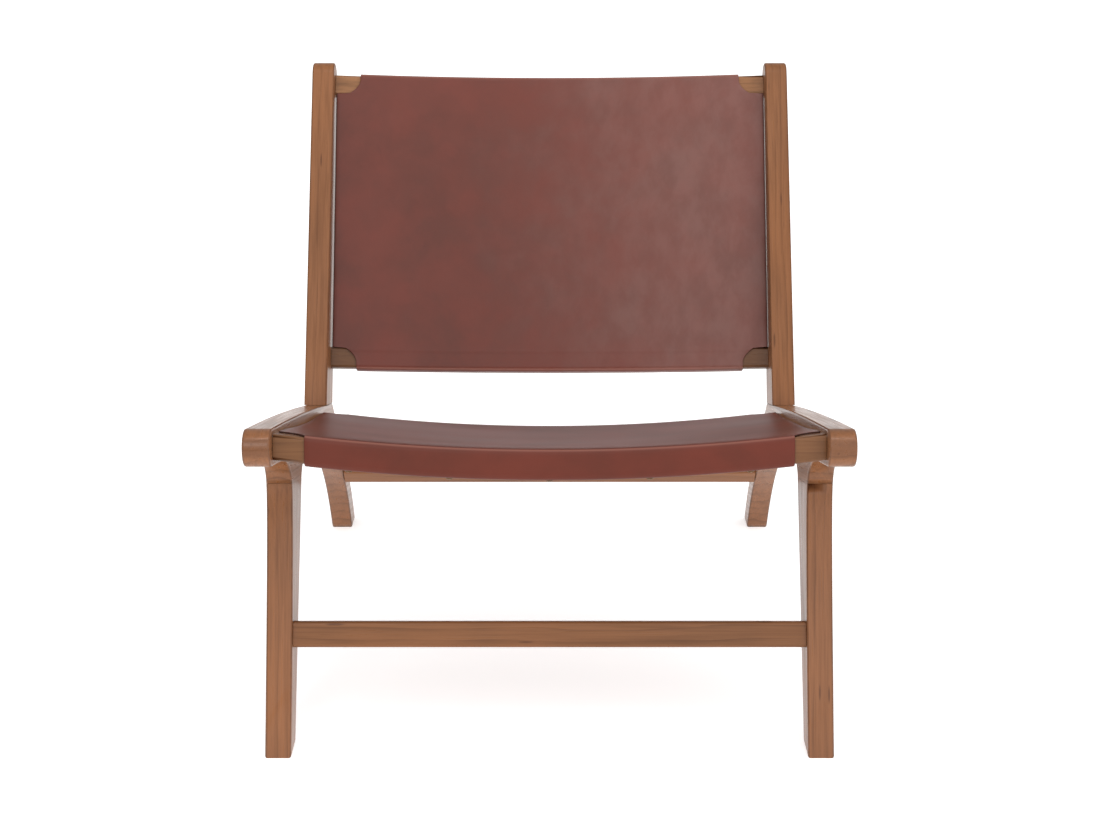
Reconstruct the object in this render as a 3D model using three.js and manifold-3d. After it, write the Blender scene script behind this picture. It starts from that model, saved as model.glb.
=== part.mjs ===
// Leather sling lounge chair: two flat timber side frames, six cross bars and two leather slings.
// Lengths are millimetres. X runs to the sitter's left hand, Y to the back and Z up.
// Side views are drawn as (back, up), measured from the tip of the front foot on the floor.
// A heading is an angle in the side view, in degrees: 0 points back and 90 points up.
import * as THREE from "three";
import { mergeVertices } from "three/addons/utils/BufferGeometryUtils.js";
import Module from "manifold-3d";

const wasm = await Module();
wasm.setup();

// Overall
const overallWidth = 650;
const timber = 30; // thickness of both side frames
const edgeRound = 2.5; // rounding along the edges of the side frames
const play = 0.3; // between pieces that touch
const overrun = 12; // how far cutters and uncut ends reach past a joint

// Seat rail, which falls straight towards the back
const railPitchDegrees = 15.4;
const railDepth = 41;
const railTopHeight = 399.3; // of its top line, above the tip of the front foot
const noseReach = 39.5; // of its round nose, in front of that tip
const railTopLength = 538.3; // from above that tip to the corner behind the back post
const railCrown = 2.5; // how far its top swells up between the nose and the back post

// Rear leg, which bends down from the rail
const shoulderHeading = -46;
const shoulderReachShare = 0.6624; // of the straight way from the rail's corner to the heel
const heelBehindRail = 223;
const heelHeading = -66;
const heelReachShare = 0.265;
const rearFootDepth = 38;
const toeHeading = 123;
const toeCurveReach = 18;
const kneeBeforeToe = 94;
const kneeBelowCrook = 109.43; // the crook is where the underside of the rail starts to bend
const kneeHeading = 138;
const kneeCurveReach = 74;
const crookBeforeRailEnd = 55;
const crookReach = 60;

// Front leg, and the stub below the rail that it meets
const stubDepth = 73; // from the rail's top line down to the joint
const jointFront = 131.4; // the front of the joint, measured along the rail
const jointLength = 84.6;
const stubFillet = 66.5; // how far the stub's curves spread along the rail
const frontFilletReach = 25;
const rearFilletReach = 10;
const rearFilletRailReach = 40;
const frontFootDepth = 41;
const legHeading = 67.8;
const legFootReach = 160;
const legTopReach = 36;

// Back post
const postFootLength = 68.3;
const postTopBehindFoot = 176.7;
const postTopAboveFoot = 413.9;
const postTopRadius = 20;

// Cross bars: their wide and narrow sides, and their tenons
const slingBarWide = 28.5;
const slingBarNarrow = 18;
const stretcherWide = 30;
const stretcherNarrow = 20;
const barEdge = 4;
const barBow = 19; // how far the middle of a sling bar stands off the line of its ends
const tenonLength = 18;
const tenonShoulder = 5;

// Places of the cross bars
const seatFrontInset = 29; // from the rail's nose to the middle of the bar
const seatBarSpacing = 421.5;
const seatFrontRaise = 0.6; // above the middle of the rail's depth
const seatRearLower = 1; // below the middle of the rail's depth
const upperBarBelowTop = 9.3;
const upperBarBehindTop = 10;
const lowerBarInset = 7.4; // from the rear corner of the rail, along the rail
const lowerBarRise = 61.3; // above the rail's top line
const frontStretcherHeight = 130;
const frontStretcherInset = 5;
const rearStretcherInset = 1;
const rearStretcherDrop = 2; // from the knee to its upper edge
const rearStretcherHeading = -51.2;

// Leather
const leather = 2.2;
const seatSideGap = 4;
const backSideGap = 3.3;
const flapInset = 34; // from the frame's inner face to the flaps that wrap the bars
const notchWidth = 14; // of the curve in each notch
const notchLength = 20;
const notchStep = 1.5;
const notchExponent = 2.1;
const backNotchCover = 2.4; // how much of the back's bars the leather covers beside the flaps
const seatSideSag = 3;
const seatMiddleSag = 6;
const backSideSag = 0.5;
const backMiddleSag = 1.5;

// Dowels and screws
const dowelRadius = 4;
const dowelLength = 40;
const dowelChamfer = 0.8;
const dowelShares = [0.25, 0.75]; // of the joint's length
const screwsPerFlap = 5;
const screwEdge = 46; // from the flap's side edge to the outermost screw
const screwHeadRadius = 4;
const screwHeadHeight = 1.8;
const screwRadius = 1.7;
const screwLength = 15;

// Fineness
const roundSegments = 16;
const screwSegments = 8;
const roundingSegments = 2;
const curveSegments = 10;
const cornerSteps = 3;
const bowSteps = 14;
const slingColumns = 12;
const spanSteps = 8;
const notchSteps = 4;

const wood = { color: 0x9a6c4c, roughness: 0.42, metalness: 0 };
const dowelWood = { color: 0xc9a77c, roughness: 0.6, metalness: 0 };
const hide = { color: 0x7a4138, roughness: 0.5, metalness: 0 };
const brass = { color: 0x8a6f45, roughness: 0.35, metalness: 1 };

// Directions and places in the side view
const radians = THREE.MathUtils.degToRad;
const degrees = THREE.MathUtils.radToDeg;

function heading(angle, reach) {
  return new THREE.Vector2(Math.cos(radians(angle)), Math.sin(radians(angle))).multiplyScalar(reach);
}

function shifted(point, angle, reach) {
  return heading(angle, reach).add(point);
}

function onRail(along, up) {
  const top = new THREE.Vector2(0, railTopHeight);
  return shifted(shifted(top, -railPitchDegrees, along), 90 - railPitchDegrees, up);
}

function indexes(count) {
  return [...Array(count).keys()];
}

// Paths
function lineTo(path, point) {
  path.lineTo(point.x, point.y);
}

function sweepTo(path, end, startHeading, startReach, endHeading, endReach) {
  const first = shifted(path.currentPoint, startHeading, startReach);
  const second = shifted(end, endHeading + 180, endReach);
  path.bezierCurveTo(first.x, first.y, second.x, second.y, end.x, end.y);
}

function roundedRectangle(wide, high, radius) {
  const right = wide / 2 - radius;
  const top = high / 2 - radius;
  const shape = new THREE.Shape();
  shape.absarc(right, top, radius, 0, radians(90));
  shape.absarc(-right, top, radius, radians(90), radians(180));
  shape.absarc(-right, -top, radius, radians(180), radians(270));
  shape.absarc(right, -top, radius, radians(270), radians(360));
  return shape;
}

// Solids
function toSolid(geometry) {
  const bare = geometry.clone();
  bare.deleteAttribute("normal");
  bare.deleteAttribute("uv");
  const merged = mergeVertices(bare);
  const vertProperties = new Float32Array(merged.attributes.position.array);
  const corners = merged.index.array;
  const kept = [];
  for (let i = 0; i < corners.length; i += 3) {
    const [a, b, c] = corners.slice(i, i + 3);
    if (a !== b && b !== c && c !== a) kept.push(a, b, c);
  }
  return new wasm.Manifold(new wasm.Mesh({ numProp: 3, vertProperties, triVerts: new Uint32Array(kept) }));
}

function toGeometry(solid) {
  const { vertProperties, triVerts } = solid.getMesh();
  const geometry = new THREE.BufferGeometry();
  geometry.setAttribute("position", new THREE.BufferAttribute(vertProperties, 3));
  geometry.setIndex(new THREE.BufferAttribute(triVerts, 1));
  geometry.computeVertexNormals();
  return geometry;
}

function cut(geometry, cutters) {
  return toGeometry(cutters.reduce((left, cutter) => left.subtract(toSolid(cutter)), toSolid(geometry)));
}

function join(geometry, others) {
  return toGeometry(others.reduce((whole, other) => whole.add(toSolid(other)), toSolid(geometry)));
}

function piece(name, geometry, look) {
  const mesh = new THREE.Mesh(geometry, new THREE.MeshStandardMaterial(look));
  mesh.name = name;
  return mesh;
}

// Moves a mesh or a cutter to a place in the side view, turned so that its Y axis has that heading
function placed(object, x, place, angle) {
  const turn = new THREE.Matrix4().makeRotationX(radians(angle));
  object.applyMatrix4(turn.setPosition(x, place.x, place.y));
  return object;
}

// Extrudes an outline of the side view across the chair, centred on X
function across(outline, width, options) {
  const geometry = new THREE.ExtrudeGeometry(outline, { depth: width, bevelEnabled: false, ...options });
  geometry.computeBoundingBox();
  const middle = (geometry.boundingBox.min.z + geometry.boundingBox.max.z) / 2;
  geometry.translate(0, 0, -middle);
  const axes = [new THREE.Vector3(0, 1, 0), new THREE.Vector3(0, 0, 1), new THREE.Vector3(1, 0, 0)];
  return geometry.applyMatrix4(new THREE.Matrix4().makeBasis(...axes));
}

function board(outline) {
  return across(outline, timber - 2 * edgeRound, {
    curveSegments,
    bevelEnabled: true,
    bevelThickness: edgeRound,
    bevelSize: edgeRound,
    bevelOffset: -edgeRound,
    bevelSegments: roundingSegments,
  });
}

// Places that the pieces share
const innerFace = overallWidth / 2 - timber; // of a side frame, from the middle of the chair
const barHalf = innerFace - play;
const noseMiddle = onRail(railDepth / 2 - noseReach, -railDepth / 2);
const railEnd = onRail(railTopLength, 0);
const heel = new THREE.Vector2(railEnd.x + heelBehindRail, 0);
const rearToe = new THREE.Vector2(heel.x - rearFootDepth, 0);
const crook = onRail(railTopLength - crookBeforeRailEnd, -railDepth);
const knee = new THREE.Vector2(rearToe.x - kneeBeforeToe, crook.y - kneeBelowCrook);
const frontHeel = new THREE.Vector2(frontFootDepth, 0);
const jointFrontEnd = onRail(jointFront, -stubDepth);
const jointRearEnd = onRail(jointFront + jointLength, -stubDepth);
const legRearHeading = degrees(jointRearEnd.clone().sub(frontHeel).angle());
const postFrontEnd = onRail(railTopLength - postFootLength, 0);
const postTop = railEnd.clone().add(new THREE.Vector2(postTopBehindFoot, postTopAboveFoot));

// The post's edges touch its round top. This is the heading of the edge that starts at a point.
function edgeHeading(point, side) {
  const reach = postTop.clone().sub(point);
  return degrees(reach.angle() + side * Math.asin(postTopRadius / reach.length()));
}

const postFrontHeading = edgeHeading(postFrontEnd, 1);
const postRearHeading = edgeHeading(railEnd, -1);
const postHeading = (postFrontHeading + postRearHeading) / 2;

// Places of the cross bars. The angle of a bar is the heading of its first side.
const seatFrontAlong = seatFrontInset - noseReach;
const seatFrontPlace = onRail(seatFrontAlong, seatFrontRaise - railDepth / 2);
const seatRearPlace = onRail(seatFrontAlong + seatBarSpacing, -railDepth / 2 - seatRearLower);
const upperBarLine = shifted(postTop, postHeading + 180, upperBarBelowTop);
const upperBarPlace = shifted(upperBarLine, postHeading - 90, upperBarBehindTop);
const lowerBarPlace = onRail(railTopLength - lowerBarInset, lowerBarRise);
const panelHeading = degrees(upperBarPlace.clone().sub(lowerBarPlace).angle());
const legFace = heading(legHeading, frontStretcherHeight / Math.sin(radians(legHeading)));
const legInset = frontStretcherInset + stretcherNarrow / 2;
const kneeFace = shifted(knee, rearStretcherHeading, rearStretcherDrop + stretcherWide / 2);
const kneeInset = rearStretcherInset + stretcherNarrow / 2;

const seatSection = { first: slingBarNarrow, second: slingBarWide, angle: -railPitchDegrees };
const panelSection = { first: slingBarWide, second: slingBarNarrow, angle: panelHeading };
const stretcherSection = { first: stretcherWide, second: stretcherNarrow };
const bars = {
  seat_front: { ...seatSection, place: seatFrontPlace },
  seat_rear: { ...seatSection, place: seatRearPlace },
  back_lower: { ...panelSection, place: lowerBarPlace },
  back_upper: { ...panelSection, place: upperBarPlace },
  front_stretcher: {
    ...stretcherSection,
    angle: legHeading,
    place: shifted(legFace, legHeading - 90, legInset),
  },
  rear_stretcher: {
    ...stretcherSection,
    angle: rearStretcherHeading,
    place: shifted(kneeFace, rearStretcherHeading + 90, kneeInset),
  },
};

// Both joints of a side frame are flat and lie along the rail. The height is the middle of the play.
const legJoint = { start: jointFront, length: jointLength, up: -stubDepth };
const postJoint = { start: railTopLength - postFootLength, length: postFootLength, up: play / 2 };

// Side frames
function railOutline() {
  const forward = 180 - railPitchDegrees;
  const legSpan = railEnd.distanceTo(heel);
  const shoulderReach = shoulderReachShare * legSpan;
  const heelReach = heelReachShare * legSpan;
  const noseTopAlong = railDepth / 2 - noseReach;
  const noseTop = onRail(noseTopAlong, 0);
  const noseBottom = onRail(noseTopAlong, -railDepth);
  const stubRear = onRail(jointFront + jointLength + stubFillet, -railDepth);
  const stubFront = onRail(jointFront - stubFillet, -railDepth);
  const crown = onRail((noseTopAlong + postJoint.start) / 2, 2 * railCrown);
  const outline = new THREE.Shape();
  outline.moveTo(noseTop.x, noseTop.y);
  outline.quadraticCurveTo(crown.x, crown.y, postFrontEnd.x, postFrontEnd.y);
  lineTo(outline, railEnd);
  sweepTo(outline, heel, shoulderHeading, shoulderReach, heelHeading, heelReach);
  lineTo(outline, rearToe);
  sweepTo(outline, knee, toeHeading, toeCurveReach, kneeHeading, kneeCurveReach);
  sweepTo(outline, crook, kneeHeading, crookReach, forward, crookReach);
  lineTo(outline, stubRear);
  sweepTo(outline, jointRearEnd, forward, rearFilletRailReach, legRearHeading + 180, rearFilletReach);
  lineTo(outline, shifted(jointRearEnd, legRearHeading + 180, overrun));
  lineTo(outline, shifted(jointFrontEnd, -90, overrun));
  lineTo(outline, jointFrontEnd);
  sweepTo(outline, stubFront, 90, frontFilletReach, forward, frontFilletReach);
  lineTo(outline, noseBottom);
  const bottom = radians(forward + 90);
  outline.absarc(noseMiddle.x, noseMiddle.y, railDepth / 2, bottom, bottom - radians(180), true);
  return outline;
}

function legOutline() {
  const outline = new THREE.Shape();
  outline.moveTo(0, 0);
  sweepTo(outline, jointFrontEnd, legHeading, legFootReach, 90, legTopReach);
  lineTo(outline, shifted(jointFrontEnd, 90, overrun));
  lineTo(outline, shifted(jointRearEnd, legRearHeading, overrun));
  lineTo(outline, frontHeel);
  return outline;
}

function postOutline() {
  const start = shifted(postFrontEnd, postFrontHeading + 180, overrun);
  const touch = shifted(postTop, postFrontHeading + 90, postTopRadius);
  const from = radians(postFrontHeading + 90);
  const to = radians(postRearHeading - 90);
  const outline = new THREE.Shape();
  outline.moveTo(start.x, start.y);
  lineTo(outline, touch);
  outline.absarc(postTop.x, postTop.y, postTopRadius, from, to, true);
  lineTo(outline, shifted(railEnd, postRearHeading + 180, overrun));
  return outline;
}

// Cuts away what lies above a joint, on side 1, or below it, on side -1
function jointCutter({ start, length, up }, side) {
  const high = 2 * overrun;
  const middle = onRail(start + length / 2, up + side * (high / 2 - play / 2));
  const cutter = new THREE.BoxGeometry(2 * timber, length + 4 * overrun, high);
  return placed(cutter, 0, middle, -railPitchDegrees);
}

function dowelGeometry(clearance) {
  const radius = dowelRadius + clearance;
  const half = dowelLength / 2 + clearance;
  const points = [
    new THREE.Vector2(0, -half),
    new THREE.Vector2(radius - dowelChamfer, -half),
    new THREE.Vector2(radius, dowelChamfer - half),
    new THREE.Vector2(radius, half - dowelChamfer),
    new THREE.Vector2(radius - dowelChamfer, half),
    new THREE.Vector2(0, half),
  ];
  return new THREE.LatheGeometry(points, roundSegments);
}

function inDowelPlaces({ start, length, up }, make) {
  return dowelShares.map((share, i) => {
    const place = onRail(start + share * length, up);
    return placed(make(i), 0, place, 90 - railPitchDegrees);
  });
}

function dowelHoles(joint) {
  return inDowelPlaces(joint, () => dowelGeometry(play));
}

function dowels(name, joint) {
  const peg = toGeometry(toSolid(dowelGeometry(0)));
  return inDowelPlaces(joint, (i) => piece(`${name}_${i + 1}`, peg, dowelWood));
}

// A mortise opens on the frame's inner face, which looks towards the middle of the chair
function mortises(names, side) {
  const deep = tenonLength + overrun;
  const shoulders = 2 * (tenonShoulder - play);
  return names.map((name) => {
    const { first, second, angle, place } = bars[name];
    const hole = new THREE.BoxGeometry(deep, first - shoulders, second - shoulders);
    return placed(hole, -side * (timber / 2 + overrun - deep / 2), place, angle);
  });
}

function sideFrame(name, side) {
  const rail = cut(board(railOutline()), [
    jointCutter(legJoint, -1),
    ...dowelHoles(legJoint),
    ...dowelHoles(postJoint),
    ...mortises(["seat_front", "seat_rear", "rear_stretcher"], side),
  ]);
  const leg = cut(board(legOutline()), [
    jointCutter(legJoint, 1),
    ...dowelHoles(legJoint),
    ...mortises(["front_stretcher"], side),
  ]);
  const post = cut(board(postOutline()), [
    jointCutter(postJoint, -1),
    ...dowelHoles(postJoint),
    ...mortises(["back_lower", "back_upper"], side),
  ]);
  const frame = new THREE.Group();
  frame.add(
    piece(`side_rail_${name}`, rail, wood),
    piece(`front_leg_${name}`, leg, wood),
    piece(`back_post_${name}`, post, wood),
    ...dowels(`leg_dowel_${name}`, legJoint),
    ...dowels(`post_dowel_${name}`, postJoint),
  );
  frame.position.x = side * (innerFace + timber / 2);
  return frame;
}

// Cross bars, made in a view where Y runs along the first side and Z along the second
function bowAt(x) {
  return Math.max(0, 1 - (x / barHalf) ** 2);
}

function bowed(geometry, bow) {
  const points = geometry.attributes.position;
  for (let i = 0; i < points.count; i += 1) {
    points.setZ(i, points.getZ(i) - bow * bowAt(points.getX(i)));
  }
  return geometry;
}

function barGeometry({ first, second }, bow) {
  const section = roundedRectangle(first, second, barEdge);
  const steps = bow === 0 ? 1 : bowSteps;
  const straight = across(section, 2 * barHalf, { steps, curveSegments: cornerSteps });
  const shoulders = 2 * tenonShoulder;
  const tenons = [-barHalf, barHalf].map((end) => {
    const tenon = new THREE.BoxGeometry(2 * tenonLength, first - shoulders, second - shoulders);
    return tenon.translate(end, 0, 0);
  });
  return join(bowed(straight, bow), tenons);
}

function stretcher(name) {
  const { place, angle } = bars[name];
  return placed(piece(name, barGeometry(bars[name], 0), wood), 0, place, angle);
}

// Screws come up through each flap into the hidden side of its bar
function screwGeometry(clearance) {
  const shank = screwRadius + clearance;
  const points = [
    new THREE.Vector2(0, -screwLength - clearance),
    new THREE.Vector2(shank, screwRadius - screwLength),
    new THREE.Vector2(shank, 0),
    new THREE.Vector2(screwHeadRadius, 0),
    new THREE.Vector2(screwHeadRadius * Math.SQRT1_2, screwHeadHeight * Math.SQRT1_2),
    new THREE.Vector2(0, screwHeadHeight),
  ];
  return new THREE.LatheGeometry(points, screwSegments);
}

function inScrewPlaces({ second }, offset, make) {
  const reach = innerFace - flapInset - screwEdge;
  const under = second / 2 + leather + 2 * play;
  return indexes(screwsPerFlap).map((i) => {
    const x = reach * ((2 * i) / (screwsPerFlap - 1) - 1);
    const slope = (2 * barBow * x) / barHalf ** 2;
    const out = new THREE.Vector3(slope, 0, -1).normalize();
    const turn = new THREE.Quaternion().setFromUnitVectors(new THREE.Vector3(0, 1, 0), out);
    const spot = new THREE.Vector3(x, offset.x, offset.y - under - barBow * bowAt(x));
    const object = make(i);
    object.applyMatrix4(new THREE.Matrix4().compose(spot, turn, new THREE.Vector3(1, 1, 1)));
    return object;
  });
}

function screwHoles(bar, offset) {
  return inScrewPlaces(bar, offset, () => screwGeometry(play));
}

function screws(name, bar, offset) {
  const screw = toGeometry(toSolid(screwGeometry(0)));
  return inScrewPlaces(bar, offset, (i) => piece(`${name}_screw_${i + 1}`, screw, brass));
}

// A sling follows a path: round its first bar, over the span and round its last bar.
// Each station of the path has a point on the leather's inner face, the heading out of the leather
// there, and how far the station lies into the span, past the notch at the nearer bar.
function bend(middle, from, to) {
  return indexes(cornerSteps + 1).map((i) => {
    const out = THREE.MathUtils.lerp(from, to, i / cornerSteps);
    return { point: shifted(middle, out, barEdge + play), out, near: -Infinity };
  });
}

function wrap({ first, second }, offset, side) {
  const flat = first / 2 - barEdge;
  const tall = second / 2 - barEdge;
  const flapEnd = new THREE.Vector2(offset.x - side * flat, offset.y - second / 2 - play);
  const low = new THREE.Vector2(offset.x + side * flat, offset.y - tall);
  const high = new THREE.Vector2(offset.x + side * flat, offset.y + tall);
  const outward = 90 - side * 90;
  const under = outward + side * -90;
  return [
    { point: flapEnd, out: under, near: -Infinity },
    ...bend(low, under, outward),
    ...bend(high, outward, 90),
  ];
}

// Places along the span, counted from the middle of the first bar
function spanPlaces(start, firstNotch, lastNotch, end) {
  const lerp = THREE.MathUtils.lerp;
  const panelStart = firstNotch + notchStep;
  const panelEnd = lastNotch - notchStep;
  const into = indexes(notchSteps).map((i) => lerp(start, firstNotch, (i + 1) / notchSteps));
  const panel = indexes(spanSteps + 1).map((i) => lerp(panelStart, panelEnd, i / spanSteps));
  const outOf = indexes(notchSteps).map((i) => lerp(lastNotch, end, i / notchSteps));
  return [...into, ...panel, ...outOf];
}

function slingPath(bar, offset, firstCover, lastCover) {
  const flat = bar.first / 2 - barEdge;
  const top = bar.second / 2 + play;
  const firstNotch = bar.first / 2 - firstCover;
  const lastNotch = offset.x - bar.first / 2 + lastCover;
  const span = spanPlaces(-flat, firstNotch, lastNotch, offset.x + flat).map((along) => ({
    point: new THREE.Vector2(along, top + (offset.y * along) / offset.x),
    out: 90,
    near: Math.min(along - firstNotch, lastNotch - along),
  }));
  return [...wrap(bar, new THREE.Vector2(), -1), ...span, ...wrap(bar, offset, 1).reverse()];
}

function halfWidth(near, panelHalf) {
  if (near > notchStep / 2) return panelHalf;
  const share = Math.max(0, 1 + near / notchLength);
  return innerFace - flapInset + notchWidth * share ** notchExponent;
}

function slingGeometry({ bar, offset, sideGap, sideSag, middleSag, firstCover, lastCover }) {
  const path = slingPath(bar, offset, firstCover, lastCover);
  const rows = path.length - 1;
  const spanStart = bar.first / 2;
  const spanLength = offset.x - bar.first;
  const geometry = new THREE.BoxGeometry(slingColumns, rows, 1, slingColumns, rows, 1);
  const points = geometry.attributes.position;
  for (let i = 0; i < points.count; i += 1) {
    const { point, out, near } = path[Math.round(points.getY(i) + rows / 2)];
    const x = (2 * points.getX(i) * halfWidth(near, innerFace - sideGap)) / slingColumns;
    const skin = shifted(point, out, points.getZ(i) > 0 ? leather : 0);
    const into = THREE.MathUtils.clamp((point.x - spanStart) / spanLength, 0, 1);
    const hang = 4 * into * (1 - into) * (sideSag + middleSag * bowAt(x));
    points.setXYZ(i, x, skin.x, skin.y - hang - barBow * bowAt(x));
  }
  return geometry;
}

// A seat or a back: two bowed bars, the sling between them and the screws of its flaps
function slung(name, [firstName, lastName], slack) {
  const bar = bars[firstName];
  const start = new THREE.Vector2();
  const offset = bars[lastName].place.clone().sub(bar.place);
  offset.rotateAround(start, -radians(bar.angle));
  const barSolid = cut(barGeometry(bar, barBow), screwHoles(bar, start));
  const holes = [...screwHoles(bar, start), ...screwHoles(bar, offset)];
  const sling = cut(slingGeometry({ bar, offset, ...slack }), holes);
  const lastBar = piece(`${lastName}_bar`, barSolid, wood);
  lastBar.position.set(0, offset.x, offset.y);
  const group = new THREE.Group();
  group.add(
    piece(`${firstName}_bar`, barSolid, wood),
    lastBar,
    piece(`${name}_sling`, sling, hide),
    ...screws(firstName, bar, start),
    ...screws(lastName, bar, offset),
  );
  return placed(group, 0, bar.place, bar.angle);
}

const seatSlack = {
  sideGap: seatSideGap,
  sideSag: seatSideSag,
  middleSag: seatMiddleSag,
  firstCover: 0,
  lastCover: 0,
};
const backSlack = {
  sideGap: backSideGap,
  sideSag: backSideSag,
  middleSag: backMiddleSag,
  firstCover: backNotchCover,
  lastCover: backNotchCover,
};

const chair = new THREE.Group();
chair.add(
  sideFrame("left", 1),
  sideFrame("right", -1),
  stretcher("front_stretcher"),
  stretcher("rear_stretcher"),
  slung("seat", ["seat_front", "seat_rear"], seatSlack),
  slung("back", ["back_lower", "back_upper"], backSlack),
);

// The origin lies on the floor, below the middle of the chair's length
chair.position.y = -(heel.x + noseMiddle.x - railDepth / 2) / 2;

export default chair;
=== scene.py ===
from math import cos, exp, inf, pi, radians, sin

import bmesh
import bpy
import numpy as np
from mathutils import Euler, Matrix, Vector, noise


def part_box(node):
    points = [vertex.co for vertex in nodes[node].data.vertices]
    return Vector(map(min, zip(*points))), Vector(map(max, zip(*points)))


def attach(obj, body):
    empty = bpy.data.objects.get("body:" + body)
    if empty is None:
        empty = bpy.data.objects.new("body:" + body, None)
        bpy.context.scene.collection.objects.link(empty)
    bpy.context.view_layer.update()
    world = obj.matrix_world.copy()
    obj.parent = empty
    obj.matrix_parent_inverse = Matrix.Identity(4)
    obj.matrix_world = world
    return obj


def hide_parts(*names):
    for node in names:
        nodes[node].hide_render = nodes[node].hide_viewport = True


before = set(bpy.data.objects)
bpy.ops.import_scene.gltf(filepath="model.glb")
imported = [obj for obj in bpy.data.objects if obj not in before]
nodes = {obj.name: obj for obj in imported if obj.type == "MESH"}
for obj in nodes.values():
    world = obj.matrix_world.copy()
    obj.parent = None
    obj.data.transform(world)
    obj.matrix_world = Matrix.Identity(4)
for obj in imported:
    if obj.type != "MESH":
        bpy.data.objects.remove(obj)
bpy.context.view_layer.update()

# Everything is in metres, in the row frame: +X to the sitter's left, +Y to the back, +Z up.
# Angles are in degrees. In side view 0 points back and 90 points up.
MM = 0.001
INNER_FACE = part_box("side_rail_left")[0].x  # from the chair's middle to either side frame

# Timber
RAIL_PITCH = 15.4
LEG_HEADING = 67.8
WELD = 0.01 * MM
FLAT_BELOW = 0.05  # faces that meet at less than this are joined into one
SMOOTH_BELOW = 50
FLAT_FACE_WEIGHT = 80

# Cross bars, as in the CAD model
BAR_WIDE = 28.5 * MM
BAR_NARROW = 18 * MM
BAR_EDGE = 4 * MM
BAR_BOW = 19 * MM
PLAY = 0.3 * MM

# Cut of the leather. A pair of side gaps is on the sitter's right and left.
LEATHER = 2.2 * MM
CUT_ROUNDING = 0.7 * MM
CUT_ROUNDING_STEPS = 2
CUT_ANGLE = 60
SEAT_SIDE_GAPS = (4 * MM, 4 * MM)
BACK_SIDE_GAPS = (1.7 * MM, 0.5 * MM)
FLAP_INSET = 34 * MM
NOTCH_WIDTH = 14 * MM
NOTCH_LENGTH = 20 * MM
NOTCH_STEP = 1.5 * MM
NOTCH_EXPONENT = 2.1
BACK_NOTCH_COVER = 2.4 * MM

# Hang of the leather. A sag is over the whole width, and what the middle adds to it.
SEAT_SAG = (3 * MM, 6 * MM)
BACK_SAG = (0.5 * MM, 1.5 * MM)
SOFT_RAMP = 3  # how fast the ripples grow from the bars to the middle
RIPPLE = 0.9 * MM
RIPPLE_SIZE = 95 * MM
RIPPLE_STRETCH = 1.6
EDGE_WAVE = 0.7 * MM
EDGE_WAVE_SIZE = 70 * MM
EDGE_WAVES_ACROSS = 9
EDGE_WAVE_EXPONENT = 12
EDGE_WAVE_LAYER = 5
BACK_DIMPLE = 0.8 * MM
DIMPLE_SIZE = 30 * MM
DIMPLE_LAYER = 9
BACK_BAR_MARK = 0.4 * MM
BAR_MARK_WIDTH = 2.5 * MM

# Fineness of the leather
COLUMNS = 80
CORNER_STEPS = 8
FACE_STEPS = 4
NOTCH_ROWS = 14
SPAN_ROWS = 60

# Screws
SCREW_RADIUS = 4 * MM
SCREW_HEIGHT = 1.8 * MM
SCREW_SHANK = 1.7 * MM
SCREW_LENGTH = 15 * MM
SCREW_SIDES = 32
DOME_RIM = 0.15  # where the dome starts, in radians above its rim
DOME_STEPS = 8
SLOT_WIDTH = 1 * MM
SLOT_DEPTH = 0.8 * MM
SCREW_SMOOTH_BELOW = 35
HEAD_SHARE = 0.95  # of the largest radius: a CAD point this far out is on the screw's head


# Objects and meshes

def add(name, data):
    made = bpy.data.objects.new(name, data)
    bpy.context.scene.collection.objects.link(made)
    return made


def smooth(mesh, material=None):
    """Shades a mesh smoothly, and gives it one material where one is named."""
    mesh.polygons.foreach_set("use_smooth", [True] * len(mesh.polygons))
    if material:
        mesh.materials.clear()
        mesh.materials.append(material)
        mesh.polygons.foreach_set("material_index", [0] * len(mesh.polygons))


# Node graphs

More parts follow.
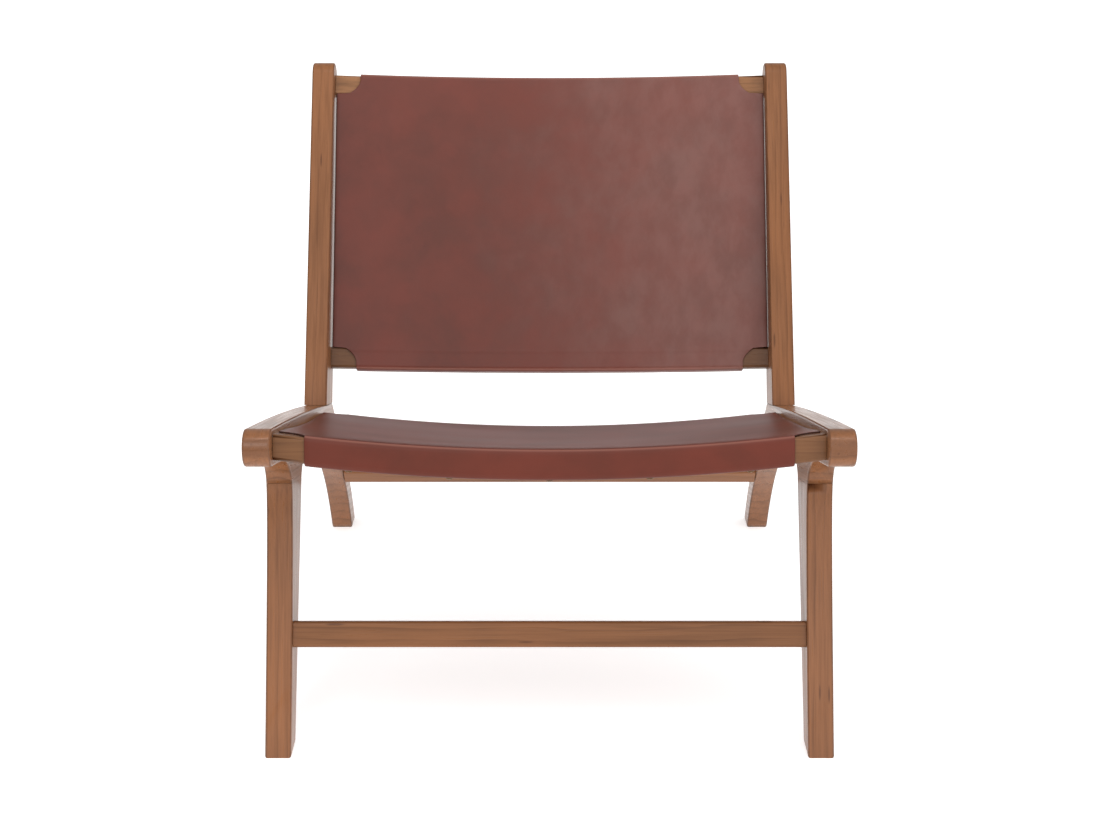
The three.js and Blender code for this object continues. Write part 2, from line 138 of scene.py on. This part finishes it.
class Graph:
    """A material made by short calls, whose inputs are numbers, colours or sockets."""

    def __init__(self, name):
        self.material = bpy.data.materials.new(name)
        self.material.use_nodes = True
        self.tree = self.material.node_tree
        self.shader = self.tree.nodes["Principled BSDF"]

    def put(self, node, inputs):
        for key, value in inputs.items():
            if isinstance(value, bpy.types.NodeSocket):
                self.tree.links.new(value, node.inputs[key])
            else:
                node.inputs[key].default_value = value

    def node(self, kind, inputs, **settings):
        made = self.tree.nodes.new("ShaderNode" + kind)
        for key, value in settings.items():
            setattr(made, key, value)
        self.put(made, inputs)
        return made

    def finish(self, **inputs):
        """Sets the shader's inputs, each named with _ for a space, and returns the material."""
        self.put(self.shader, {key.replace("_", " "): value for key, value in inputs.items()})
        return self.material

    def place(self):
        return self.node("TexCoord", {}).outputs["Object"]

    def mapped(self, vector, **inputs):
        return self.node("Mapping", {"Vector": vector, **inputs}).outputs[0]

    def along(self, vector, axis):
        return self.node("SeparateXYZ", {"Vector": vector}).outputs[axis]

    def noise(self, vector, scale, detail=4.0, roughness=0.55, distortion=0.0):
        """Noise with its scale per metre."""
        inputs = {"Vector": vector, "Scale": scale, "Detail": detail, "Roughness": roughness}
        return self.node("TexNoise", {**inputs, "Distortion": distortion}).outputs["Fac"]

    def math(self, operation, first, second=0.0):
        return self.node("Math", {0: first, 1: second}, operation=operation).outputs[0]

    def plus(self, first, second):
        return self.math("ADD", first, second)

    def times(self, first, second):
        return self.math("MULTIPLY", first, second)

    def ranged(self, value, span, result):
        """A smooth step from one end of result to the other, as value passes through span."""
        inputs = {"Value": value, "From Min": span[0], "From Max": span[1]}
        inputs.update({"To Min": result[0], "To Max": result[1]})
        return self.node("MapRange", inputs, interpolation_type="SMOOTHSTEP").outputs["Result"]

    def mix(self, factor, first, second):
        made = self.node("Mix", {0: factor}, data_type="RGBA")
        self.put(made, {6: first, 7: second})
        return made.outputs[2]

    def tint(self, base, towards, value, span, most):
        """The base drawn towards a colour, by up to most, as value passes through span."""
        return self.mix(self.ranged(value, span, (0.0, most)), base, towards)

    def bump(self, height, strength, distance, normal=None):
        inputs = {"Height": height, "Strength": strength, "Distance": distance}
        if normal is not None:
            inputs["Normal"] = normal
        return self.node("Bump", inputs).outputs["Normal"]


def colour(red, green, blue):
    """A colour given in display values from 0 to 255, as the linear colour that a shader takes."""
    return tuple(((c / 255 + 0.055) / 1.055) ** 2.4 for c in (red, green, blue)) + (1.0,)


# Wood: growth layers, streaks, pores and short dark dashes along the grain, painted shade along the
# rounded edges, and darker end grain. A stretch is the scale of a pattern along the grain, where 1
# is its scale across.

WARM_WOOD = colour(146, 94, 57)
PORE = colour(78, 46, 28)
DASH = colour(74, 44, 29)
EDGE_SHADE = colour(84, 54, 36)
END_GRAIN = colour(98, 62, 40)

RAIL_TONES = colour(141, 93, 61), colour(101, 64, 39)
LEG_TONES = colour(136, 89, 57), colour(100, 63, 39)
POST_TONES = colour(137, 91, 60), colour(103, 66, 42)
DOWEL_TONES = colour(206, 176, 130), colour(176, 142, 98)
BAR_TONES = (138, 92, 60), (102, 66, 41)
# Painted shade and light on each bar: its tones are scaled darker where the bar sits in shade and
# lighter where it is lit.
BAR_PAINTED_SHADING = {
    "front_stretcher": (0.92, 0.92, 0.92),
    "rear_stretcher": (1.0, 1.0, 1.0),
    "seat_front_bar": (0.81, 0.84, 0.85),
    "seat_rear_bar": (0.92, 0.92, 0.92),
    "back_lower_bar": (0.62, 0.65, 0.67),
    "back_upper_bar": (1.08, 1.13, 1.14),
}

WOOD_SHIFT = Vector((0.37, 0.61, 0.23))
GROWTH_STRETCH = 0.1
FIBRE_STRETCH = 0.025
DASH_STRETCH = 0.13
LATE_EXPONENT = 4.0
LATE_SHARE = 0.42
FIGURE_SHARE = 0.56
STREAK_HEIGHT = 0.6
PORE_HEIGHT = -0.8


def wood(name, turn, layers, seed, light, dark, specular=0.24, coat=0.14):
    """turn is the Euler rotation that brings the grain onto Y, and layers the axis across growth."""
    g = Graph(name)
    turned = g.mapped(g.place(), Rotation=turn, Location=WOOD_SHIFT * seed)
    slow = g.mapped(turned, Scale=(1, GROWTH_STRETCH, 1))
    fast = g.mapped(turned, Scale=(1, FIBRE_STRETCH, 1))
    figure = g.noise(slow, scale=34, detail=3, roughness=0.5, distortion=0.4)
    streak = g.noise(fast, scale=260, detail=5, roughness=0.6, distortion=0.2)
    fibre = g.noise(fast, scale=1300, detail=3, roughness=0.6)
    tone = g.noise(turned, scale=6, detail=2)
    bands = {"Scale": 27, "Distortion": 7.0, "Detail": 3, "Detail Scale": 0.9}
    growth = g.node(
        "TexWave",
        {"Vector": slow, **bands, "Phase Offset": seed},
        wave_type="BANDS",
        bands_direction=layers,
        wave_profile="SAW",
    ).outputs["Fac"]
    uneven = g.ranged(g.noise(slow, scale=70, detail=2), span=(0.35, 0.65), result=(0.3, 1.0))
    late = g.times(g.math("POWER", growth, LATE_EXPONENT), uneven)
    dense = g.plus(g.times(late, LATE_SHARE), g.times(figure, FIGURE_SHARE))
    base = g.tint(light, dark, dense, span=(0.2, 0.66), most=0.85)
    base = g.tint(base, dark, streak, span=(0.35, 0.72), most=0.55)
    base = g.tint(base, WARM_WOOD, tone, span=(0.35, 0.7), most=0.3)
    pores = g.ranged(fibre, span=(0.6, 0.76), result=(0.0, 0.3))
    base = g.mix(pores, base, PORE)
    grain = g.mapped(turned, Scale=(1, DASH_STRETCH, 1))
    to_dash = g.node("TexVoronoi", {"Vector": grain, "Scale": 62}).outputs["Distance"]
    base = g.mix(g.ranged(to_dash, span=(0.05, 0.11), result=(0.6, 0.0)), base, DASH)

    # Painted shade along the rounded edges between the faces, uneven by noise.
    face = g.node("NewGeometry", {}).outputs["Normal"]
    across = g.math("ABSOLUTE", g.along(face, "X"))
    off_front = g.ranged(across, span=(0.1, 0.5), result=(0.0, 1.0))
    off_side = g.ranged(across, span=(0.75, 0.98), result=(1.0, 0.0))
    edge = g.times(off_front, off_side)
    edge_shade_amount = g.ranged(g.noise(turned, scale=60, detail=3), span=(0.3, 0.6), result=(0.25, 0.6))
    base = g.mix(g.times(edge, edge_shade_amount), base, EDGE_SHADE)
    grain_axis = Euler(turn).to_matrix().transposed() @ Vector((0, 1, 0))
    facing = g.node("VectorMath", {0: face, 1: grain_axis}, operation="DOT_PRODUCT")
    squarely = g.math("ABSOLUTE", facing.outputs["Value"])
    base = g.tint(base, END_GRAIN, squarely, span=(0.8, 0.96), most=0.58)

    height = g.plus(g.times(streak, STREAK_HEIGHT), g.times(pores, PORE_HEIGHT))
    return g.finish(
        Base_Color=base,
        Roughness=g.ranged(streak, span=(0.3, 0.7), result=(0.26, 0.38)),
        Specular_IOR_Level=specular,
        Coat_Weight=coat,
        Coat_Roughness=0.12,
        Normal=g.bump(height, strength=0.25, distance=0.08 * MM),
    )


def along_heading(angle):
    """The turn for grain that runs along a heading in side view."""
    return (radians(-angle), 0, 0)


# Leather: cloudy colour, fine pebble, soft creases with painted shade in them, a painted sheen
# towards one side, a painted highlight along the folds over the bars, and side edges darkened by dye
# and by painted shade of the gaps beside the frame. Its cut edge and the screws' brass come after
# it.

RED_LEATHER = colour(101, 45, 33)
BROWN_LEATHER = colour(88, 41, 30)
MOTTLE = colour(112, 52, 42)
CREASE_SHADE = colour(76, 34, 24)
PAINTED_SHEEN = colour(150, 112, 104)
FOLD_HIGHLIGHT = colour(176, 124, 110)
EDGE_DYE_AND_SHADE = colour(56, 26, 20)
CUT_EDGE_TONES = colour(46, 25, 19), colour(70, 42, 32)
BRASS_TONES = colour(122, 94, 60), colour(74, 56, 38)

LEATHER_SHIFT = Vector((0.41, 0.17, 0.53))
CREASE_STRETCH = (1.5, 0.7, 0.7)
CRUMPLE_TURN = 35
CRUMPLE_STRETCH = 0.45
CLOUD_SHIFT = 0.35  # how far the clouds move the border of the painted sheen, in metres
FOLD_HIGHLIGHT_ANGLE = 38  # how far the leather has turned from the span where the painted highlight on a fold is brightest
FOLD_HIGHLIGHT_WIDTH = 12
FOLD_HIGHLIGHT_SHARE = 0.42
DARK_SIDE_EDGE_WIDTH = 3.2 * MM
DARK_SIDE_EDGE_SHARE = 0.8
LEATHER_ROUGHNESS = 0.41
ROUGHNESS_SPREAD = 0.03


def leather(name, seed, painted_sheen_share, relief, side_gaps, specular, coat):
    """The third argument is the share of painted pale sheen at the sitter's left, and relief the
    strength of the marks.
    """
    g = Graph(name)
    place = g.mapped(g.place(), Location=LEATHER_SHIFT * seed)
    cloud = g.noise(place, scale=9, detail=4, roughness=0.6, distortion=0.3)
    mottle = g.noise(place, scale=26, detail=5, roughness=0.62)
    drawn = g.mapped(place, Scale=CREASE_STRETCH)
    creases = g.noise(drawn, scale=26, detail=5, roughness=0.55, distortion=0.8)
    cells = g.node("TexVoronoi", {"Vector": place, "Scale": 620}, feature="SMOOTH_F1")
    pebble = cells.outputs["Distance"]
    base = g.tint(RED_LEATHER, BROWN_LEATHER, cloud, span=(0.3, 0.7), most=1.0)
    base = g.tint(base, MOTTLE, mottle, span=(0.42, 0.7), most=0.16 * relief)
    # Painted shade in the creases.
    base = g.tint(base, CREASE_SHADE, creases, span=(0.6, 0.8), most=0.18 * relief)

    side = g.along(g.place(), "X")
    # Painted sheen: the colour turns paler towards the sitter's left, in patches along the crumples,
    # standing in for reflected light.
    drift = g.plus(side, g.times(cloud, CLOUD_SHIFT))
    slant = (0, radians(CRUMPLE_TURN), 0)
    slanted = g.mapped(place, Rotation=slant, Scale=(1, 1, CRUMPLE_STRETCH))
    crumple = g.noise(slanted, scale=44, detail=4, roughness=0.55, distortion=0.15)
    painted_sheen_mask = g.ranged(drift, span=(0.05, 0.42), result=(0.0, painted_sheen_share))
    patchy = g.ranged(crumple, span=(0.3, 0.7), result=(0.75, 1.2))
    base = g.mix(g.times(painted_sheen_mask, patchy), base, PAINTED_SHEEN)
    # Painted highlight along the folds over the bars, weighted by the fold attribute that sling()
    # writes.
    fold = g.node("Attribute", {}, attribute_name="fold").outputs["Fac"]
    base = g.mix(g.times(fold, FOLD_HIGHLIGHT_SHARE), base, FOLD_HIGHLIGHT)
    # Darker side edges: edge dye, with painted shade of the gaps between the leather and the frame.
    edges = (side_gaps[0] - INNER_FACE, INNER_FACE - side_gaps[1])
    right = g.ranged(side, span=(edges[0], edges[0] + DARK_SIDE_EDGE_WIDTH), result=(1.0, 0.0))
    left = g.ranged(side, span=(edges[1] - DARK_SIDE_EDGE_WIDTH, edges[1]), result=(0.0, 1.0))
    base = g.mix(g.times(g.math("MAXIMUM", right, left), DARK_SIDE_EDGE_SHARE), base, EDGE_DYE_AND_SHADE)

    fine = g.bump(pebble, strength=0.18 * relief, distance=0.08 * MM)
    folded = g.plus(creases, crumple)
    rough, spread = LEATHER_ROUGHNESS, ROUGHNESS_SPREAD * relief
    return g.finish(
        Base_Color=base,
        Roughness=g.ranged(mottle, span=(0.3, 0.7), result=(rough - spread, rough + spread)),
        Specular_IOR_Level=specular,
        Coat_Weight=coat,
        Coat_Roughness=0.2,
        Normal=g.bump(folded, strength=0.3 * relief, distance=0.6 * MM, normal=fine),
    )


def leather_edge(name):
    g = Graph(name)
    strands = g.noise(g.place(), scale=900, detail=4, roughness=0.6)
    return g.finish(
        Base_Color=g.tint(*CUT_EDGE_TONES, strands, span=(0.3, 0.7), most=1.0),
        Roughness=g.ranged(strands, span=(0.3, 0.7), result=(0.6, 0.8)),
        Specular_IOR_Level=0.2,
        Normal=g.bump(strands, strength=0.4, distance=0.15 * MM),
    )


def brass(name):
    g = Graph(name)
    tarnish = g.noise(g.place(), scale=420, detail=4, roughness=0.6)
    scratches = g.noise(g.mapped(g.place(), Scale=(1, 0.1, 1)), scale=4000, detail=3)
    return g.finish(
        Base_Color=g.mix(tarnish, *BRASS_TONES),
        Metallic=1.0,
        Roughness=g.ranged(scratches, span=(0.3, 0.7), result=(0.26, 0.44)),
        Normal=g.bump(scratches, strength=0.2, distance=0.03 * MM),
    )


# Timbers

def finished(name, material):
    """A welded, smoothly shaded copy of a CAD node, which it stands for."""
    mesh = nodes[name].data.copy()
    mesh.name = name + "_finished"
    welded = bmesh.new()
    welded.from_mesh(mesh)
    bmesh.ops.remove_doubles(welded, verts=welded.verts, dist=WELD)
    bmesh.ops.recalc_face_normals(welded, faces=welded.faces)
    bmesh.ops.dissolve_limit(
        welded, angle_limit=radians(FLAT_BELOW), verts=welded.verts, edges=welded.edges
    )
    welded.to_mesh(mesh)
    welded.free()
    smooth(mesh, material)
    mesh.set_sharp_from_angle(angle=radians(SMOOTH_BELOW))
    piece = add(mesh.name, mesh)
    weighted = piece.modifiers.new("weighted normals", "WEIGHTED_NORMAL")
    weighted.keep_sharp = True
    weighted.weight = FLAT_FACE_WEIGHT
    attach(piece, "root")
    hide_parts(name)


def bar_end(name):
    """The middle of a cross bar's tenon end, in side view."""
    points = np.array([v.co for v in nodes[name].data.vertices])
    end = points[points[:, 0] > points[:, 0].max() - WELD]
    return Vector(end[:, 1:].mean(0))


# Slings: each is a sheet of leather that follows a path round one bar, over the span and round the
# other. The path is in side view, with X along the sling. A station of it has a point on the inner
# skin, the heading out of the leather there, and how far it lies into the span, past the notch at
# the nearer bar. A bar's run is its size along the sling, and its depth its size through it.

def heading(angle, reach):
    return Vector((cos(radians(angle)), sin(radians(angle)))) * reach


def steps(start, end, count):
    """Values from start towards end, without end itself."""
    return [start + (end - start) * i / count for i in range(count)]


def wrap(run, depth, offset, side):
    """The stations round the bar whose middle is at offset; side is -1 for the first bar, or 1."""
    flat, tall = run / 2 - BAR_EDGE, depth / 2 - BAR_EDGE
    outward = 90 - side * 90
    under = outward - side * 90
    bottom = offset.y - depth / 2 - PLAY
    face = offset.x + side * (run / 2 + PLAY)
    low = Vector((offset.x + side * flat, offset.y - tall))
    high = Vector((offset.x + side * flat, offset.y + tall))
    radius = BAR_EDGE + PLAY
    path = [(Vector((x, bottom)), under) for x in steps(offset.x - side * flat, low.x, FACE_STEPS)]
    path += [(low + heading(a, radius), a) for a in steps(under, outward, CORNER_STEPS)]
    path += [(Vector((face, y)), outward) for y in steps(low.y, high.y, FACE_STEPS)]
    path += [(high + heading(a, radius), a) for a in steps(outward, 90, CORNER_STEPS)]
    return [(point, out, -inf) for point, out in path]


def sling_path(run, depth, offset, notch_cover):
    flat = run / 2 - BAR_EDGE
    top = depth / 2 + PLAY
    near_notch = run / 2 - notch_cover
    far_notch = offset.x - run / 2 + notch_cover
    span_end = far_notch - NOTCH_STEP
    places = steps(-flat, near_notch, NOTCH_ROWS) + [near_notch]
    places += steps(near_notch + NOTCH_STEP, span_end, SPAN_ROWS) + [span_end]
    places += steps(far_notch, offset.x + flat, NOTCH_ROWS) + [offset.x + flat]
    span = [
        (Vector((x, top + offset.y * x / offset.x)), 90, min(x - near_notch, far_notch - x))
        for x in places
    ]
    first_wrap = wrap(run, depth, Vector((0, 0)), -1)
    return first_wrap + span + wrap(run, depth, offset, 1)[::-1]


def half_width(near, panel_half, flap_half):
    if near > NOTCH_STEP / 2:
        return panel_half
    share = max(0.0, 1 + near / NOTCH_LENGTH)
    return flap_half + NOTCH_WIDTH * share ** NOTCH_EXPONENT


def bell(distance, width):
    return exp(-(distance / width) ** 2)


def sling(name, bars, angle, section, side_gaps, sag, notch_cover, dimple, bar_mark, materials):
    """angle is the sling's heading from its first bar, and section the run and depth of a bar."""
    start, end = bar_end(bars[0]), bar_end(bars[1])
    along_axis = heading(angle, 1)
    up_axis = heading(angle + 90, 1)
    between = end - start
    offset = Vector((between.dot(along_axis), between.dot(up_axis)))
    path = sling_path(*section, offset, notch_cover)
    panel_halves = [INNER_FACE - gap for gap in side_gaps]
    flap_half = INNER_FACE - FLAP_INSET
    bar_half = INNER_FACE - PLAY
    span_start, span_length = section[0] / 2, offset.x - section[0]
    skins = [[], []]
    folds = []
    for point, out, near in path:
        # Weight of the painted fold highlight at this station.
        folds += [bell(abs(out - 90) - FOLD_HIGHLIGHT_ANGLE, FOLD_HIGHLIGHT_WIDTH)] * (COLUMNS + 1)
        halves = [half_width(near, panel_half, flap_half) for panel_half in panel_halves]
        into = min(1.0, max(0.0, (point.x - span_start) / span_length))
        hang_share = 4 * into * (1 - into)
        soft = min(1.0, SOFT_RAMP * hang_share)
        mark = bar_mark * bell(point.x - span_start + BAR_EDGE, BAR_MARK_WIDTH)
        for column in range(COLUMNS + 1):
            share = 2 * column / COLUMNS - 1
            x = halves[share > 0] * share
            bow = max(0.0, 1 - (x / bar_half) ** 2)
            hang = hang_share * (sag[0] + sag[1] * bow)
            spot = (x / (RIPPLE_STRETCH * RIPPLE_SIZE), point.x / RIPPLE_SIZE, angle)
            ripple = RIPPLE * noise.noise(Vector(spot))
            spot = (x * EDGE_WAVES_ACROSS, point.x / EDGE_WAVE_SIZE, angle + EDGE_WAVE_LAYER)
            wave = EDGE_WAVE * share ** EDGE_WAVE_EXPONENT * noise.noise(Vector(spot))
            spot = (x / DIMPLE_SIZE, point.x / DIMPLE_SIZE, angle + DIMPLE_LAYER)
            hang += soft * (ripple + wave + dimple * noise.noise(Vector(spot)))
            if out == 90:
                hang -= mark
            for skin, lift in zip(skins, (0.0, LEATHER)):
                lifted = point + heading(out, lift)
                local = Vector((lifted.x, lifted.y - hang - BAR_BOW * bow))
                in_side_view = start + along_axis * local.x + up_axis * local.y
                skin.append((x, in_side_view.x, in_side_view.y))
    piece = sheet_piece(name, len(path), skins, folds, materials)
    panel_half = sum(panel_halves) / 2
    lengths = [(b[0] - a[0]).length for a, b in zip(path, path[1:])]
    widths = [half_width(near, panel_half, flap_half) for _, _, near in path]
    area = sum(length * (a + b) for length, a, b in zip(lengths, widths, widths[1:]))
    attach(piece, "root")
    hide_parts(name.replace("leather", "sling"))
    flat = (2 * panel_half, sum(lengths))
    area = min(area, flat[0] * flat[1])


def sheet_piece(name, rows, skins, folds, materials):
    """A closed sheet from an inner and an outer skin, in the leather and, round them, its edge."""
    wide = COLUMNS + 1
    outer = rows * wide
    faces = []
    rims = []
    for row in range(rows - 1):
        for column in range(COLUMNS):
            a = row * wide + column
            quad = (a, a + 1, a + 1 + wide, a + wide)
            faces.append(tuple(outer + i for i in quad))
            faces.append(quad[::-1])
        for column, flip in ((0, False), (COLUMNS, True)):
            a = row * wide + column
            quad = (a, a + outer, a + outer + wide, a + wide)
            rims.append(quad[::-1] if flip else quad)
    for row, flip in ((0, True), (rows - 1, False)):
        for column in range(COLUMNS):
            a = row * wide + column
            quad = (a, a + outer, a + outer + 1, a + 1)
            rims.append(quad[::-1] if flip else quad)
    mesh = bpy.data.meshes.new(name)
    mesh.from_pydata(skins[0] + skins[1], [], faces + rims)
    for material in materials:
        mesh.materials.append(material)
    mesh.polygons.foreach_set("material_index", [0] * len(faces) + [1] * len(rims))
    shaped = bmesh.new()
    shaped.from_mesh(mesh)
    bmesh.ops.recalc_face_normals(shaped, faces=shaped.faces)
    shaped.to_mesh(mesh)
    shaped.free()
    mesh.attributes.new("fold", "FLOAT", "POINT").data.foreach_set("value", folds + folds)
    smooth(mesh)
    piece = add(name, mesh)
    rounding = piece.modifiers.new("cut edges", "BEVEL")
    rounding.width = CUT_ROUNDING
    rounding.segments = CUT_ROUNDING_STEPS
    rounding.limit_method = "ANGLE"
    rounding.angle_limit = radians(CUT_ANGLE)
    return piece


# Screws with a domed, slotted head, set where the CAD screws are

def screw_mesh(material):
    """The head's dome points to +Z, and its underside is at zero."""
    shaped = bmesh.new()
    profile = [(0, -SCREW_LENGTH), (SCREW_SHANK, SCREW_SHANK - SCREW_LENGTH)]
    profile += [(SCREW_SHANK, 0), (SCREW_RADIUS, 0)]
    dome = steps(DOME_RIM, pi / 2, DOME_STEPS)
    profile += [(SCREW_RADIUS * cos(a), SCREW_HEIGHT * sin(a)) for a in dome]
    profile.append((0, SCREW_HEIGHT))
    ring = [shaped.verts.new((x, 0, z)) for x, z in profile]
    line = [shaped.edges.new(pair) for pair in zip(ring, ring[1:])]
    bmesh.ops.spin(
        shaped, geom=ring + line, cent=(0, 0, 0), axis=(0, 0, 1), angle=2 * pi, steps=SCREW_SIDES
    )
    bmesh.ops.remove_doubles(shaped, verts=shaped.verts, dist=WELD)
    bmesh.ops.recalc_face_normals(shaped, faces=shaped.faces)
    blank = bpy.data.meshes.new("slotted_screw")
    shaped.to_mesh(blank)
    shaped.free()
    block = bmesh.new()
    bmesh.ops.create_cube(block, size=1)
    slot = bpy.data.meshes.new("slot_cutter")
    block.to_mesh(slot)
    block.free()
    screw = add("screw_blank", blank)
    cutter = add("slot_cutter", slot)
    cutter.scale = (3 * SCREW_RADIUS, SLOT_WIDTH, 2 * SLOT_DEPTH)
    cutter.location = (0, 0, SCREW_HEIGHT)
    carve = screw.modifiers.new("slot", "BOOLEAN")
    carve.operation = "DIFFERENCE"
    carve.solver = "EXACT"
    carve.object = cutter
    bpy.context.view_layer.update()
    carved = screw.evaluated_get(bpy.context.evaluated_depsgraph_get())
    mesh = bpy.data.meshes.new_from_object(carved)
    smooth(mesh, material)
    mesh.set_sharp_from_angle(angle=radians(SCREW_SMOOTH_BELOW))
    bpy.data.objects.remove(cutter)
    bpy.data.objects.remove(screw)
    return mesh


def screw_pose(name):
    """Where the underside of a CAD screw's head is, and the turn that points +Z out of its head."""
    points = np.array([v.co for v in nodes[name].data.vertices])
    middle = points.mean(0)
    axis = np.linalg.svd(points - middle)[2][0]
    along = (points - middle) @ axis
    radius = np.linalg.norm(points - middle - np.outer(along, axis), axis=1)
    head = along[radius > HEAD_SHARE * radius.max()].mean()
    if head < (along.min() + along.max()) / 2:
        axis, head = -axis, -head
    turn = Vector((0, 0, 1)).rotation_difference(Vector(axis))
    return Matrix.LocRotScale(Vector(middle + axis * head), turn, None)


# Making the pieces

back_up = bar_end("back_upper_bar") - bar_end("back_lower_bar")
BACK_HEADING = float(np.degrees(np.arctan2(back_up.y, back_up.x)))
RAIL_GRAIN = along_heading(-RAIL_PITCH)
LEG_GRAIN = along_heading(LEG_HEADING)
POST_GRAIN = along_heading(BACK_HEADING)
BAR_GRAIN = (0, 0, radians(90))
DOWEL_GRAIN = along_heading(90 - RAIL_PITCH)

for seed, side in enumerate(("left", "right")):
    rail = wood("rail_wood_" + side, RAIL_GRAIN, "Z", 1 + seed, *RAIL_TONES)
    leg = wood("leg_wood_" + side, LEG_GRAIN, "X", 3 + seed, *LEG_TONES)
    post = wood(
        "post_wood_" + side, POST_GRAIN, "X", 5 + seed, *POST_TONES, specular=0.14, coat=0.0
    )
    finished("side_rail_" + side, rail)
    finished("front_leg_" + side, leg)
    finished("back_post_" + side, post)

for seed, (name, tint) in enumerate(BAR_PAINTED_SHADING.items()):
    # The bar's tones scaled by its share of painted shade and light.
    tones = [colour(*(share * c for share, c in zip(tint, tone))) for tone in BAR_TONES]
    bar = wood(name + "_wood", BAR_GRAIN, "Z", 7 + seed, *tones, specular=0.18, coat=0.08)
    finished(name, bar)

dowel_wood = wood("dowel_wood", DOWEL_GRAIN, "X", 14, *DOWEL_TONES)
for name, node in nodes.items():
    if "dowel" in name:
        node.data.materials.clear()
        node.data.materials.append(dowel_wood)

edge_finish = leather_edge("leather_cut_edge")
seat_finish = leather(
    "seat_leather_finish",
    seed=1,
    painted_sheen_share=0.0,
    relief=0.12,
    side_gaps=SEAT_SIDE_GAPS,
    specular=0.17,
    coat=0.01,
)
sling(
    "seat_leather",
    bars=("seat_front_bar", "seat_rear_bar"),
    angle=-RAIL_PITCH,
    section=(BAR_NARROW, BAR_WIDE),
    side_gaps=SEAT_SIDE_GAPS,
    sag=SEAT_SAG,
    notch_cover=0.0,
    dimple=0.0,
    bar_mark=0.0,
    materials=(seat_finish, edge_finish),
)
back_finish = leather(
    "back_leather_finish",
    seed=2,
    painted_sheen_share=0.28,
    relief=1.8,
    side_gaps=BACK_SIDE_GAPS,
    specular=0.28,
    coat=0.0,
)
sling(
    "back_leather",
    bars=("back_lower_bar", "back_upper_bar"),
    angle=BACK_HEADING,
    section=(BAR_WIDE, BAR_NARROW),
    side_gaps=BACK_SIDE_GAPS,
    sag=BACK_SAG,
    notch_cover=BACK_NOTCH_COVER,
    dimple=BACK_DIMPLE,
    bar_mark=BACK_BAR_MARK,
    materials=(back_finish, edge_finish),
)

slotted = screw_mesh(brass("screw_brass"))
for name in sorted(nodes):
    if "screw" in name:
        screw = add(name + "_finished", slotted)
        screw.matrix_world = screw_pose(name)
        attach(screw, "root")
        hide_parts(name)


# Floor, light and camera

FLOOR_REACH = 16
FLOOR_GLOW = 0.6
SKY_STRENGTH = 0.6
SUN_STRENGTH = 1.6
SUN_SPREAD = 90
SUN_DIRECTION = (-0.35, 0.62, -0.66)

PHOTO_SIZE = (1100, 824)
CAMERA_PLACE = (0, -2.25672, 1.05448)
CAMERA_TILT = 71.5
CAMERA_LENS = 61.484
CAMERA_SENSOR = 36
CAMERA_SHIFT_PIXELS = (0.4, 0.5)


def floor_finish(name):
    g = Graph(name)
    speck = g.noise(g.place(), scale=30, detail=3)
    return g.finish(
        Base_Color=g.mix(speck, (0.8, 0.8, 0.8, 1), (0.83, 0.83, 0.83, 1)),
        Roughness=g.ranged(speck, span=(0.3, 0.7), result=(0.7, 0.8)),
        Emission_Color=(1, 1, 1, 1),
        Emission_Strength=FLOOR_GLOW,
    )


def floor():
    mesh = bpy.data.meshes.new("floor")
    reach = FLOOR_REACH
    corners = [(-reach, -reach, 0), (reach, -reach, 0), (reach, reach, 0), (-reach, reach, 0)]
    mesh.from_pydata(corners, [], [(0, 1, 2, 3)])
    mesh.materials.append(floor_finish("pale_floor"))
    add("floor", mesh)


def aimed(direction):
    return Vector(direction).to_track_quat("-Z", "Y").to_euler()


def softbox(name, place, target, size, watts):
    light = bpy.data.lights.new(name, "AREA")
    light.shape = "RECTANGLE"
    light.size, light.size_y = size
    light.energy = watts
    lamp = add(name, light)
    lamp.location = place
    lamp.rotation_euler = aimed(Vector(target) - Vector(place))


floor()
daylight = bpy.data.lights.new("daylight", "SUN")
daylight.energy = SUN_STRENGTH
daylight.angle = radians(SUN_SPREAD)
add("daylight", daylight).rotation_euler = aimed(SUN_DIRECTION)
softbox("sheen", place=(-0.75, -2.3, 1.9), target=(0.1, 0.2, 0.5), size=(0.8, 0.8), watts=7)
softbox("top", place=(0, -1.1, 3.2), target=(0, -0.36, 0.38), size=(1.8, 0.4), watts=10)

world = bpy.data.worlds.new("studio")
bpy.context.scene.world = world
world.use_nodes = True
sky = world.node_tree.nodes["Background"]
sky.inputs["Color"].default_value = (1, 1, 1, 1)
sky.inputs["Strength"].default_value = SKY_STRENGTH
bpy.context.scene.view_settings.view_transform = "Standard"

camera_data = bpy.data.cameras.new("camera")
camera_data.sensor_width = CAMERA_SENSOR
camera_data.lens = CAMERA_LENS
camera_data.shift_x = CAMERA_SHIFT_PIXELS[0] / PHOTO_SIZE[0]
camera_data.shift_y = CAMERA_SHIFT_PIXELS[1] / PHOTO_SIZE[0]
camera = add("camera", camera_data)
camera.location = CAMERA_PLACE
camera.rotation_euler = (radians(CAMERA_TILT), 0, 0)
bpy.context.scene.camera = camera

bpy.context.view_layer.update()
